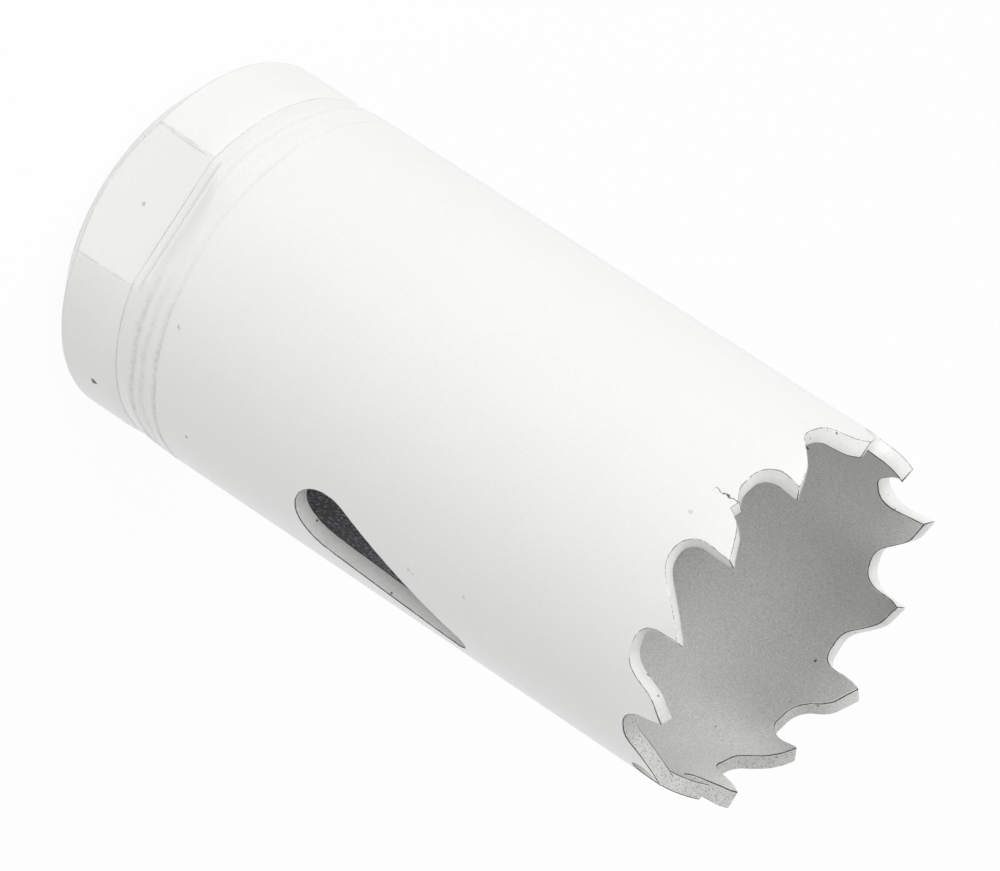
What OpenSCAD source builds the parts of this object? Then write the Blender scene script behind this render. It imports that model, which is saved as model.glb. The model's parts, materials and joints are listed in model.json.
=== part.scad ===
// Hole saw: a toothed strip rolled into a tube, and a threaded cap welded to its closed end.
// It stands on the cap's face with the teeth up. The origin is the centre of that face.

/* [Size] */
// Diameter of the hole that it cuts, across the teeth that are set outwards
cut_d = 25; // [20:0.5:32]
// Height from the cap's face to the tooth tips
saw_h = 50.6; // [44:0.2:60]
// Thickness of the rolled strip
wall = 1.05; // [0.8:0.05:1.3]

/* [Teeth] */
// Distance from each tip to the tip before it, starting at the first tooth past the seam
pitches = [6.7, 5.8, 6.4, 5.4, 5.4, 3.8, 6.2, 6.0, 6.6, 6.3, 6.7, 6.7, 6.6]; // each [3.6:0.1:7]
// Shortest pitch that has a full gullet, shorter ones have a smaller copy of it
full_pitch = 5.4; // [5:0.1:5.6]
// How far a tip leans out of the wall, outwards or inwards
tooth_set = 0.4; // [0.2:0.05:0.5]
// Depth of the gullet before each tip, in the same order
depths = [2.4, 3.25, 2.9, 2.6, 2.9, 2.05, 2.35, 2.5, 2.8, 3.0, 3.25, 2.85, 2.8]; // each [2:0.05:3.4]
// Length of the relief behind each tip
reliefs = [2.0, 0.4, 1.8, 0.4, 1.2, 0.6, 0.9, 1.9, 1.7, 1.9, 0.5, 1.8, 1.5]; // each [0.3:0.1:2]
// Slope of each tooth's back out of the gullet
slopes = [60, 46, 57, 47, 47, 47, 45, 60, 48, 53, 42, 47, 46]; // each [40:1:60]
// How far the inner corner of an outward tooth is twisted ahead of its outer corner
twist_out = 0.5; // [0:0.05:0.6]
// How far the inner corner of an inward tooth is twisted ahead
twist_in = 0.2; // [0:0.05:0.4]
// Undercut of the cutting face of a tooth that is set inwards
hook_in = 2; // [0:1:6]
// Undercut of the cutting face of a tooth that is set outwards
hook_out = -4; // [-6:1:4]
// How far the inside of a cutting face swells forwards at half its height
face_swell = 0.25; // [0:0.05:0.3]
// Radius at the foot of the cutting face, where the gullet has room for it
face_r = 1.5; // [1:0.1:1.6]
// Radius at the foot of a tooth's back, where the gullet has room for it
back_r = 1.6; // [1:0.1:1.7]
// Slope of the relief behind a tip
relief_angle = 22; // [18:1:26]
// Length of the round on each side of the knee between a back and its relief
knee_run = 0.6; // [0.2:0.1:0.8]
// Width of the worn land on a tip
land_w = 0.12; // [0.08:0.02:0.2]
// Direction of the first tip past the seam
first_tip = -6.7; // [-20:0.1:20]

/* [Seam] */
// Distance of the butt-welded seam behind the first tip
seam_back = 3.25; // [3.1:0.05:3.4]
// Depth of the seam's top below the tips
seam_drop = 1.75; // [1.6:0.05:1.9]
// Slope from the gullet up to the seam
seam_slope = 45; // [40:1:50]
// Depth of the step between the seam and the first tooth, below the seam's top
step_h = 0.15; // [0.1:0.05:0.2]

/* [Slots] */
// Radius of the wide end of a slot
slot_r = 2.6; // [2:0.05:3]
// Radius of the narrow end of a slot
slot_tip_r = 0.82; // [0.6:0.02:1.2]
// Height of the wide end's centre
slot_z = 24.05; // [18:0.1:28]
// Height of the narrow end's centre above the wide one's
slot_rise = 9.7; // [7:0.1:12]
// Distance round the wall from the wide end's centre to the narrow one's
slot_lean = 3.35; // [0:0.05:4]
// Direction of the wide end of the first slot
slot_angle = 57.7; // [40:0.5:80]

/* [Cap] */
// Height of the cap's rim
cap_h = 6.3; // [5:0.1:8]
// How much lower the cap's rim lies than the tube
cap_inset = 0.05; // [0:0.01:0.1]
// Width of the bevel round the cap's face
bevel_w = 2.1; // [0.5:0.1:2.5]
// Height of that bevel
bevel_h = 1.75; // [0.5:0.05:2]
// Distance across the two wrench flats
across_flats = 22.1; // [21:0.1:22.6]
// Height of the neck inside the weld
neck_h = 1; // [0.5:0.1:2]
// Width that the weld keeps at the middle of a flat
weld_root = 0.5; // [0.3:0.05:0.8]
// Bore of the thread, a half inch with 20 turns to the inch, at its crests
bore_d = 11.5; // [11.3:0.05:11.6]
// Width of the countersinks at both ends of the bore
countersink = 0.6; // [0.4:0.05:0.9]

/* [Weld] */
// Height of the weld between the cap and the tube
weld_h = 3.55; // [3:0.05:4]
// Height of the straight foot of the weld along the flats
foot_h = 0.55; // [0.3:0.05:0.8]
// Depth of the groove where the weld meets the cap
groove = 0.22; // [0.1:0.01:0.3]
// Bulge of each of the weld's two beads
bead = 0.04; // [0:0.01:0.08]

/* [Hidden] */

body_r = cut_d / 2 - tooth_set;
inner_r = body_r - wall;
cap_r = body_r - cap_inset;
groove_r = body_r - groove;
neck_r = across_flats / 2 - weld_root;
tube_z = cap_h + weld_h;
fit_gap = 0.02;
cut_over = 1;
bend_steps = 2;
least_floor = 0.1;
limit_fn = 48;

tooth_count = len(pitches);
ring = total(pitches);
bend_z = saw_h - min(depths) + fit_gap;

function total(list, from = 0) = from < len(list) ? list[from] + total(list, from + 1) : 0;

// Direction of a tip, with the pitches scaled to close the ring
function tip_angle(k) = k == 0 ? first_tip : tip_angle(k - 1) + pitches[k] * 360 / ring;

// Angle that a distance round the tips takes up
function round_the_rim(x) = x * 360 / ring;

// Angle that a distance round the wall takes up
function round_the_wall(x) = x * 180 / (PI * body_r);

function gullet_scale(pitch) = min(1, pitch / full_pitch);

function arc(centre, r, from, to, steps) = [for (i = [0:steps])
    let (a = from + (to - from) * i / steps) centre + r * [cos(a), sin(a)]];

// A size of gullet k before the gullet is scaled
function full(list, k) = list[k] / gullet_scale(pitches[k]);

function tooth_before(k) = (k + tooth_count - 1) % tooth_count;

// End of the relief behind tip k, from the tip before it
function knee(k) = let (relief = full(reliefs, k)) [full(pitches, k) - relief, -relief * tan(relief_angle)];

// Undercut of the cutting face at the start of gullet k
function hook(k) = lean(tooth_before(k)) == 1 ? hook_out : hook_in;

// Slope out of gullet k's floor, and a point that it goes through: the knee, or the seam's top
function rise(k) = k == 0 ? seam_slope : slopes[k];
function rise_top(k) = k == 0 ? [pitches[0] - seam_back, -seam_drop] : knee(k);

// Rounds at the floor of gullet k: where each touches the floor and its radius
function floor_rounds(k) =
    let (h = full(depths, k), top = rise_top(k),
         from = land_w / 2 - h * tan(hook(k)), to = top[0] - (h + top[1]) / tan(rise(k)),
         face_run = face_r * tan(45 + hook(k) / 2), back_run = back_r * tan(rise(k) / 2),
         fit = min(1, (to - from - least_floor) / (face_run + back_run)))
    [[from + fit * face_run, fit * face_r], [to - fit * back_run, fit * back_r]];

// Round between the back and the relief of tooth k
function knee_round(k) =
    let (a = slopes[k], run = min(knee_run, full(reliefs, k) * 3 / 4), r = run / tan((a - relief_angle) / 2))
    arc(knee(k) - run * [cos(a), sin(a)] + r * [sin(a), -cos(a)], r, 90 + a, 90 + relief_angle, 2);

// Top of the seam, and the foot of the first tooth's back beyond the step
function seam_step() =
    let (top = rise_top(0), low = top[1] - step_h)
    [top, [knee(0)[0] + (low - knee(0)[1]) / tan(slopes[0]), low]];

// Outline of the gullet before tooth k in the flat strip, from the tip before it to the tip after it
function gullet_outline(k) =
    let (s = gullet_scale(pitches[k]), h = full(depths, k),
         face = floor_rounds(k)[0], back = floor_rounds(k)[1],
         points = concat(
             [[land_w / 2, 0]],
             arc([face[0], face[1] - h], face[1], 180 - hook(k), 270, 7),
             arc([back[0], back[1] - h], back[1], 270, 270 + rise(k), 4),
             k == 0 ? seam_step() : [], knee_round(k), [[full(pitches, k) - land_w / 2, 0]]))
    s * points;

// Middle of a gullet's floor, from the tip before it
function floor_middle(k) =
    let (floor = floor_rounds(k)) gullet_scale(pitches[k]) * (floor[0][0] + floor[1][0]) / 2;

// Side that a tooth leans to: 1 is outwards and -1 is inwards
function lean(k) = k % 2 == 0 ? -1 : 1;

function twist(k) = lean(k) == 1 ? twist_out : twist_in;

// One side of a slot in the flat strip, from the wide end to the narrow one: side is 1 or -1
function slot_side(side) =
    let (end = [slot_lean, slot_rise], along = atan2(slot_rise, slot_lean),
         touch = acos((slot_r - slot_tip_r) / norm(end)),
         wide = arc([0, 0], slot_r, along + side * 175, along + side * touch, 8),
         narrow = arc(end, slot_tip_r, along + side * touch, along + side * 10, 4))
    concat(wide, [for (t = [0.2:0.2:0.9]) wide[8] * (1 - t) + narrow[0] * t], narrow);

// Cut through the wall between two lines of points [angle, height, angle ahead at the wall's inside]
module wall_cut(low, high) {
    n = len(low);
    points = [for (r = [inner_r - tooth_set - cut_over, body_r + tooth_set + cut_over])
        for (i = [0:n - 1]) for (p = [low[i], high[i]])
            let (a = p[0] + p[2] * (body_r - r) / wall) [r * cos(a), r * sin(a), p[1]]];
    function at(outer, i, upper) = (outer * n + i) * 2 + upper;
    faces = concat(
        [for (i = [0:n - 2]) [at(1, i, 0), at(1, i, 1), at(1, i + 1, 1), at(1, i + 1, 0)]],
        [for (i = [0:n - 2]) [at(0, i, 0), at(0, i + 1, 0), at(0, i + 1, 1), at(0, i, 1)]],
        [for (i = [0:n - 2]) [at(1, i, 0), at(1, i + 1, 0), at(0, i + 1, 0)]],
        [for (i = [0:n - 2]) [at(1, i, 0), at(0, i + 1, 0), at(0, i, 0)]],
        [for (i = [0:n - 2]) [at(1, i + 1, 1), at(1, i, 1), at(0, i, 1)]],
        [for (i = [0:n - 2]) [at(1, i + 1, 1), at(0, i, 1), at(0, i + 1, 1)]],
        [[at(1, 0, 1), at(1, 0, 0), at(0, 0, 0), at(0, 0, 1)]],
        [[at(1, n - 1, 0), at(1, n - 1, 1), at(0, n - 1, 1), at(0, n - 1, 0)]]);
    polyhedron(points, faces);
}

module gullet(k) {
    outline = gullet_outline(k);
    n = len(outline);
    start = tip_angle(k) - round_the_rim(pitches[k]);
    low = [for (i = [0:n - 1])
        let (p = outline[i], on_face = i < n / 2, tooth = on_face ? tooth_before(k) : k,
             up = 1 + p[1] / depths[k], ahead = twist(tooth) * up,
             swell = on_face ? 4 * face_swell * up * (1 - up) : 0)
        [start + round_the_rim(p[0] + ahead * lean(tooth) * tooth_set / wall), saw_h + p[1],
         round_the_rim(ahead + swell)]];
    high = [for (i = [0:n - 1])
        [low[0][0] + (low[n - 1][0] - low[0][0]) * i / (n - 1), saw_h + cut_over,
         low[0][2] + (low[n - 1][2] - low[0][2]) * i / (n - 1)]];
    wall_cut(low, high);
}

module slot(turn) {
    left = [for (p = slot_side(1)) [turn + round_the_wall(p[0]), slot_z + p[1], 0]];
    right = [for (p = slot_side(-1)) [turn + round_the_wall(p[0]), slot_z + p[1], 0]];
    wall_cut(right, left);
}

// Side of the wall up the bend, leaning out (1) or in (-1), from a gap short of the tube's side
function lean_line(r, side, gap) = [for (t = [0:1 / bend_steps:1])
    [r + side * (tooth_set * t * t - gap * (1 - t)), bend_z + t * (saw_h - bend_z)]];

// Rim of the tube, thick enough for the teeth of both sides
module rim_blank() {
    outer = concat([[body_r, tube_z]], lean_line(body_r, 1, 0));
    inner = concat([[inner_r, tube_z]], lean_line(inner_r, -1, 0));
    n = len(outer);
    rotate_extrude($fn = 144) polygon(concat(outer, [for (i = [n - 1:-1:0]) inner[i]]));
}

// What goes from the rim beside one tooth: its inside where it leans out, or its outside
module tooth_relief(k) {
    next = (k + 1) % tooth_count;
    from = tip_angle(k) - round_the_rim(pitches[k] - floor_middle(k) - fit_gap);
    to = tip_angle(k) + round_the_rim(floor_middle(next) - fit_gap);
    r = lean(k) == 1 ? inner_r : body_r;
    line = lean_line(r, lean(k), fit_gap);
    top = line[bend_steps] + [lean(k) * tooth_set, cut_over];
    away = r - lean(k) * (2 * tooth_set + cut_over);
    under = bend_z - cut_over;
    rotate(from) rotate_extrude(angle = to - from, $fn = 144)
        polygon(concat([[line[0][0], under]], line, [top, [away, top[1]], [away, under]]));
}

module saw_tube() {
    color("white") difference() {
        rim_blank();
        for (k = [0:tooth_count - 1]) tooth_relief(k);
        for (k = [0:tooth_count - 1]) gullet(k);
        for (turn = [0, 180]) slot(slot_angle + turn);
    }
}

// Prism with the cap's outline across its flats, or its tool when it is wider than the cap
module flats_prism(h, r, fn) {
    linear_extrude(h) intersection() {
        circle(r, $fn = fn);
        square([across_flats, 3 * body_r], center = true);
    }
}

module cap() {
    edge_h = 1.4;
    sink_h = countersink + fit_gap;
    color("white") difference() {
        rotate_extrude($fn = 144) polygon(concat(
            [[0, 0], [cap_r - bevel_w, 0], [cap_r, bevel_h], [cap_r, cap_h - edge_h]],
            [for (t = [1:4]) [cap_r - (cap_r - groove_r) * t * t / 16, cap_h - edge_h * (1 - t / 4)]],
            [[neck_r, cap_h], [neck_r, cap_h + neck_h], [0, cap_h + neck_h]]));
        translate([0, 0, -cut_over]) cylinder(d = bore_d, h = cap_h + neck_h + 2 * cut_over, $fn = 96);
        for (end = [0, 1]) translate([0, 0, end * (cap_h + neck_h)]) mirror([0, 0, end])
            translate([0, 0, -fit_gap]) cylinder(r1 = bore_d / 2 + sink_h, r2 = bore_d / 2, h = sink_h, $fn = 96);
        for (side = [-1, 1]) translate([side * (across_flats / 2 + body_r), 0, cap_h / 2])
            cube([2 * body_r, 3 * body_r, 3 * cap_h], center = true);
    }
}

// Space that the weld may fill: straight along the flats at its foot, and round at the tube
module weld_limit() {
    round_r = body_r / cos(180 / limit_fn);
    translate([0, 0, cap_h - cut_over]) flats_prism(foot_h + cut_over, round_r, limit_fn);
    hull() {
        translate([0, 0, cap_h + foot_h - fit_gap]) flats_prism(fit_gap, round_r, limit_fn);
        translate([0, 0, tube_z]) cylinder(r = round_r, h = fit_gap, $fn = limit_fn);
    }
}

module weld_ring() {
    half = weld_h / 2;
    middle_r = body_r - bead;
    color("white") intersection() {
        rotate_extrude($fn = 144) polygon(concat(
            [[neck_r + fit_gap, cap_h]],
            [for (t = [0:0.25:1]) [groove_r + (middle_r - groove_r) * sin(90 * t), cap_h + half * t]],
            [for (t = [0.25:0.25:1])
                [middle_r + (body_r - middle_r) * t + bead * sin(180 * t) / 2, cap_h + half * (1 + t)]],
            [[inner_r, tube_z], [neck_r + fit_gap, cap_h + neck_h + 1]]));
        weld_limit();
    }
}

saw_tube();
cap();
weld_ring();
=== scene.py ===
"""Looks of a hole saw, built in Blender 4.5 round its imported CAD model.

The saw is a toothed strip rolled into a tube, a threaded cap, and the weld that joins them, all under
one coat of white enamel. The frame's origin is the centre of the cap's face and +Z points to the teeth.
Sizes are written in millimetres and made metres where a mesh or a material is made.
"""

import json
import logging
import math
from contextlib import contextmanager
from dataclasses import dataclass, field
from enum import Enum
from functools import reduce
from typing import Callable, Iterator, Sequence

import bmesh
import bpy
from mathutils import Matrix, Vector, noise
from mathutils.geometry import delaunay_2d_cdt

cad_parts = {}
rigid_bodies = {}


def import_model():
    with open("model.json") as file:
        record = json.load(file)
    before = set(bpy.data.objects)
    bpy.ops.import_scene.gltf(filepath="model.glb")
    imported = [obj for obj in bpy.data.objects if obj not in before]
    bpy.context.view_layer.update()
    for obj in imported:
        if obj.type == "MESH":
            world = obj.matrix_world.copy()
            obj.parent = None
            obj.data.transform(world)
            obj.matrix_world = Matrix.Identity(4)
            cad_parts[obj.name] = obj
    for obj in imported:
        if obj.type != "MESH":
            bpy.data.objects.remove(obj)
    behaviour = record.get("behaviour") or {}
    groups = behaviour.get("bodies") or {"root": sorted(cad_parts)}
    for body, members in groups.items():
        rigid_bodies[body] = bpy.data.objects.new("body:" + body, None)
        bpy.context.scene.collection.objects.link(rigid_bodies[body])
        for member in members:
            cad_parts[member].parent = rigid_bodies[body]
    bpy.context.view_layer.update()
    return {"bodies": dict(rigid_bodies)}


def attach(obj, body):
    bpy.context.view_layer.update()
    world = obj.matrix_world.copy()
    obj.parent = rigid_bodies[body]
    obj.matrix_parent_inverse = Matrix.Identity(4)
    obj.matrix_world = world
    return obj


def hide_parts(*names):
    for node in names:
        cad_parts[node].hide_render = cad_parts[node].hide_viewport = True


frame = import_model()

MM = 0.001
# Two tolerances, in millimetres.
TINY = 0.001
NEAR = 0.01
# Angle from which an edge is shaded sharp.
SHARP = math.radians(32)
BODY = "root"

log = logging.getLogger("hole_saw")

Point2 = tuple[float, float]
Point3 = tuple[float, float, float]
Colour = tuple[float, float, float]
Given = bpy.types.NodeOutputs
UP: Point3 = (0.0, 0.0, 1.0)


class Side(Enum):
    """Side that a tooth is set to, as a sign along the radius."""

    OUT = 1
    IN = -1


class Coat(Enum):
    """Material slot of a face on the saw."""

    OUTSIDE = 0
    INSIDE = 1
    EDGE = 2
    CUT = 3


def deselect_all() -> None:
    """Leaves object mode's selection empty, so that an operator acts on the new piece alone."""
    bpy.ops.object.select_all(action="DESELECT")


def make_active(piece: bpy.types.Object) -> None:
    """Selects one piece and makes it the active one.

    Args:
        piece: The object that the next operators work on.
    """
    deselect_all()
    piece.select_set(True)
    bpy.context.view_layer.objects.active = piece


def apply_modifier(piece: bpy.types.Object, kind: str, **values: object) -> None:
    """Adds a modifier with its values and applies it.

    Args:
        piece: The object to change.
        kind: Blender's name of the modifier.
        **values: The modifier's settings.
    """
    make_active(piece)
    modifier = piece.modifiers.new(kind.lower(), kind)
    for name, value in values.items():
        setattr(modifier, name, value)
    bpy.ops.object.modifier_apply(modifier=modifier.name)


@contextmanager
def open_mesh(piece: bpy.types.Object) -> Iterator[bmesh.types.BMesh]:
    """Opens a piece's mesh for changes, and writes it back when they are made.

    Args:
        piece: The object whose mesh is changed.

    Yields:
        The mesh.
    """
    mesh = bmesh.new()
    mesh.from_mesh(piece.data)
    yield mesh
    mesh.to_mesh(piece.data)
    mesh.free()


def new_object(
    name: str, points: Sequence[Sequence[float]], faces: Sequence[Sequence[int]]
) -> bpy.types.Object:
    """Makes an object from its corners and faces.

    Args:
        name: The piece's name.
        points: Its corners.
        faces: The corners of each face, by number.

    Returns:
        The object, at the origin.
    """
    mesh = bpy.data.meshes.new(name)
    mesh.from_pydata([tuple(p) for p in points], [], [tuple(f) for f in faces])
    mesh.update()
    piece = bpy.data.objects.new(name, mesh)
    bpy.context.scene.collection.objects.link(piece)
    return piece


def add_slots(piece: bpy.types.Object, last: Coat) -> None:
    """Gives a piece one empty material slot for each coat up to the last that it has."""
    for _ in range(last.value + 1):
        piece.data.materials.append(None)


def arc(centre: Point2, radius: float, start: float, end: float, steps: int) -> list[Point2]:
    """Points on an arc.

    Args:
        centre: Its centre.
        radius: Its radius.
        start: Its first direction, in degrees.
        end: Its last direction, in degrees.
        steps: How many stretches it is cut into.

    Returns:
        The points, both ends among them.
    """
    points = []
    for i in range(steps + 1):
        angle = math.radians(start + (end - start) * i / steps)
        points.append((centre[0] + radius * math.cos(angle), centre[1] + radius * math.sin(angle)))
    return points


def fill_gaps(points: Sequence[Point2], longest: float) -> list[Point2]:
    """Adds points to a line so that no stretch of it is long.

    Args:
        points: The line's corners.
        longest: The longest stretch allowed.

    Returns:
        The line with its added points.
    """
    line = [points[0]]
    for a, b in zip(points, points[1:]):
        parts = max(1, math.ceil(math.dist(a, b) / longest))
        line += [
            (a[0] + (b[0] - a[0]) * i / parts, a[1] + (b[1] - a[1]) * i / parts)
            for i in range(1, parts + 1)
        ]
    return line


def middle(corners: Sequence[Point2], face: Sequence[int]) -> Point2:
    """Middle of a face's corners."""
    return (sum(corners[i][0] for i in face) / len(face), sum(corners[i][1] for i in face) / len(face))


def inside(point: Point2, loop: Sequence[Point2]) -> bool:
    """Tells whether a point lies inside a closed line.

    Args:
        point: The point.
        loop: The line's corners.

    Returns:
        True where a ray from the point crosses the line an odd number of times.
    """
    crossings = 0
    for (x0, z0), (x1, z1) in zip(loop, [*loop[1:], loop[0]]):
        if (z0 > point[1]) != (z1 > point[1]):
            crossings += point[0] < x0 + (x1 - x0) * (point[1] - z0) / (z1 - z0)
    return crossings % 2 == 1


def ease(share: float) -> float:
    """Smooth step of a share that is first held between 0 and 1."""
    share = min(1.0, max(0.0, share))
    return share * share * (3 - 2 * share)


def bump(distance: float, width: float) -> float:
    """Height of a soft round bump at a distance from its middle, 1 at the most."""
    return math.exp(-((distance / width) ** 2))


def mark_edges(piece: bpy.types.Object, steps: int, strength: Callable[[Vector], float]) -> None:
    """Shades a piece smooth and writes the attribute "edge": highest in the middle of each rounded edge.

    Args:
        piece: A mesh whose rounded edges have the edge material.
        steps: How many stretches each round has.
        strength: Height of the attribute on the edges at a place.
    """
    with open_mesh(piece) as mesh:
        layer = mesh.verts.layers.float.new("edge")
        strip = {v for f in mesh.faces if f.material_index == Coat.EDGE.value for v in f.verts}
        ring = {v for v in strip if any(f.material_index != Coat.EDGE.value for f in v.link_faces)}
        seen = set(ring)
        level = 0
        while ring:
            for v in ring:
                v[layer] = min(1.0, level / (steps / 2)) * strength(v.co)
            ring = {e.other_vert(v) for v in ring for e in v.link_edges} & strip - seen
            seen |= ring
            level += 1
        for e in mesh.edges:
            kinds = {f.material_index == Coat.EDGE.value for f in e.link_faces}
            e.smooth = len(kinds) < 2 and e.calc_face_angle(0.0) < SHARP
        for f in mesh.faces:
            f.smooth = True


def count_open_edges(piece: bpy.types.Object) -> int:
    """Number of edges of a piece that don't join exactly two faces.

    Args:
        piece: The finished mesh.

    Returns:
        The number, 0 for a closed mesh.
    """
    mesh = bmesh.new()
    mesh.from_mesh(piece.data)
    count = sum(not e.is_manifold for e in mesh.edges)
    mesh.free()
    return count


@dataclass(frozen=True)
class Tooth:
    """One tooth and the gullet before it, in the flat strip.

    Attributes:
        pitch: Distance from the tip before it.
        depth: Depth of the gullet before it.
        relief: Length of the relief behind its tip.
        slope: Slope of its back out of the gullet, in degrees.
    """

    pitch: float
    depth: float
    relief: float
    slope: float


@dataclass
class ToothedTube:
    """The rolled strip with its teeth, its seam and its two chip slots."""

    # The tube.
    body_r: float = 12.1
    wall: float = 1.05
    foot_z: float = 9.85
    saw_h: float = 50.6
    turn_steps: int = 150
    row_h: float = 1.5
    row_clear: float = 0.35
    line_step: float = 0.16
    merge_dist: float = 0.002
    join_dist: float = 0.04
    # Set and twist of the teeth.
    tooth_set: float = 0.4
    twist_out: float = 0.5
    twist_in: float = 0.2
    face_swell: float = 0.25
    blend_run: float = 1.5
    # The gullets, with angles in degrees.
    full_pitch: float = 5.4
    hook_in: float = 2.0
    hook_out: float = -4.0
    face_r: float = 1.5
    back_r: float = 1.6
    relief_angle: float = 22.0
    knee_run: float = 0.6
    land_w: float = 0.12
    least_floor: float = 0.1
    face_steps: int = 12
    back_steps: int = 8
    knee_steps: int = 4
    # The seam, behind the first tooth.
    first_tip: float = -6.7
    seam_back: float = 3.25
    seam_drop: float = 1.75
    seam_slope: float = 45.0
    step_h: float = 0.15
    # The chip slots.
    slot_r: float = 2.6
    slot_tip_r: float = 0.82
    slot_z: float = 24.05
    slot_rise: float = 9.7
    slot_lean: float = 3.35
    slot_angle: float = 57.7
    slot_steps: int = 72
    slot_tip_steps: int = 20
    # The rounded edges and their wear, which is stronger on the outer edges between two directions.
    edge_w: float = 0.085
    edge_steps: int = 6
    edge_angle: float = 50.0
    faint_wear: float = 0.46
    strong_wear: float = 0.9
    strong_start: float = 35.0
    strong_end: float = 200.0
    strong_run: float = 30.0
    ragged_size: float = 0.22
    ragged_depth: float = 0.03
    ragged_fade: float = 3.0
    teeth: tuple[Tooth, ...] = (
        Tooth(6.7, 2.4, 2.0, 60),
        Tooth(5.8, 3.25, 0.4, 46),
        Tooth(6.4, 2.9, 1.8, 57),
        Tooth(5.4, 2.6, 0.4, 47),
        Tooth(5.4, 2.9, 1.2, 47),
        Tooth(3.8, 2.05, 0.6, 47),
        Tooth(6.2, 2.35, 0.9, 45),
        Tooth(6.0, 2.5, 1.9, 60),
        Tooth(6.6, 2.8, 1.7, 48),
        Tooth(6.3, 3.0, 1.9, 53),
        Tooth(6.7, 3.25, 0.5, 42),
        Tooth(6.7, 2.85, 1.8, 47),
        Tooth(6.6, 2.8, 1.5, 46),
    )
    ring: float = field(init=False)
    bend_z: float = field(init=False)

    def __post_init__(self) -> None:
        """Works out the strip's length and where its teeth begin to bend."""
        self.ring = sum(tooth.pitch for tooth in self.teeth)
        self.bend_z = self.saw_h - min(tooth.depth for tooth in self.teeth)

    def tip(self, k: int) -> float:
        """Place of tip k along the strip, from the first tip, for any whole k."""
        turns, k = divmod(k, len(self.teeth))
        return turns * self.ring + sum(tooth.pitch for tooth in self.teeth[1 : k + 1])

    def side(self, k: int) -> Side:
        """Side that tooth k is set to."""
        return Side.IN if k % len(self.teeth) % 2 == 0 else Side.OUT

    def scale(self, k: int) -> float:
        """Scale of the gullet before tooth k, below 1 where the pitch is short."""
        return min(1.0, self.teeth[k].pitch / self.full_pitch)

    def full(self, k: int) -> Tooth:
        """Sizes of tooth k before its gullet is scaled."""
        tooth, scale = self.teeth[k], self.scale(k)
        return Tooth(tooth.pitch / scale, tooth.depth / scale, tooth.relief / scale, tooth.slope)

    def hook(self, k: int) -> float:
        """Undercut of the cutting face at the start of the gullet before tooth k, in degrees."""
        return self.hook_out if self.side(k - 1) is Side.OUT else self.hook_in

    def knee(self, k: int) -> Point2:
        """End of the relief behind tip k, from the tip before it."""
        tooth = self.full(k)
        return tooth.pitch - tooth.relief, -tooth.relief * math.tan(math.radians(self.relief_angle))

    def rise(self, k: int) -> tuple[Point2, float]:
        """A point that the slope out of a gullet goes through, and that slope.

        Args:
            k: Number of the tooth after the gullet.

        Returns:
            The knee, or the seam's top in the gullet with the seam, and the slope in degrees.
        """
        if k == 0:
            return (self.teeth[0].pitch - self.seam_back, -self.seam_drop), self.seam_slope
        return self.knee(k), self.teeth[k].slope

    def floor_rounds(self, k: int) -> tuple[Point2, Point2]:
        """Rounds at the floor of the gullet before tooth k.

        Args:
            k: The tooth's number.

        Returns:
            For the face's round and the back's: where it touches the floor, and its radius.
        """
        depth = self.full(k).depth
        hook = self.hook(k)
        top, slope = self.rise(k)
        first = self.land_w / 2 - depth * math.tan(math.radians(hook))
        last = top[0] - (depth + top[1]) / math.tan(math.radians(slope))
        face_run = self.face_r * math.tan(math.radians(45 + hook / 2))
        back_run = self.back_r * math.tan(math.radians(slope / 2))
        fit = min(1.0, (last - first - self.least_floor) / (face_run + back_run))
        return (first + fit * face_run, fit * self.face_r), (last - fit * back_run, fit * self.back_r)

    def knee_round(self, k: int) -> list[Point2]:
        """Round between the back and the relief of tooth k.

        Args:
            k: The tooth's number.

        Returns:
            Its points, from the tip before it.
        """
        slope, x_z = self.teeth[k].slope, self.knee(k)
        run = min(self.knee_run, self.full(k).relief * 3 / 4)
        r = run / math.tan(math.radians((slope - self.relief_angle) / 2))
        turn = math.radians(slope)
        centre = (
            x_z[0] - run * math.cos(turn) + r * math.sin(turn),
            x_z[1] - run * math.sin(turn) - r * math.cos(turn),
        )
        return arc(centre, r, 90 + slope, 90 + self.relief_angle, self.knee_steps)

    def gullet(self, k: int) -> list[Point2]:
        """Outline of the gullet before tooth k, from the tip before it to its own.

        Args:
            k: The tooth's number.

        Returns:
            Points along the strip and up from the tips' height.
        """
        depth = self.full(k).depth
        face, back = self.floor_rounds(k)
        points = [(self.land_w / 2, 0.0)]
        points += arc((face[0], face[1] - depth), face[1], 180 - self.hook(k), 270, self.face_steps)
        points += arc((back[0], back[1] - depth), back[1], 270, 270 + self.rise(k)[1], self.back_steps)
        if k == 0:
            low = -self.seam_drop - self.step_h
            x, z = self.knee(0)
            run = (low - z) / math.tan(math.radians(self.teeth[0].slope))
            points += [self.rise(0)[0], (x + run, low)]
        points += self.knee_round(k)
        points.append((self.full(k).pitch - self.land_w / 2, 0.0))
        return [(x * self.scale(k), z * self.scale(k)) for x, z in points]

    def floor_middle(self, k: int) -> float:
        """Place of the middle of the gullet's floor before tooth k, from the tip before it.

        Args:
            k: The tooth's number, which may pass the last one.

        Returns:
            The distance along the strip.
        """
        k %= len(self.teeth)
        face, back = self.floor_rounds(k)
        return self.scale(k) * (face[0] + back[0]) / 2

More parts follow.
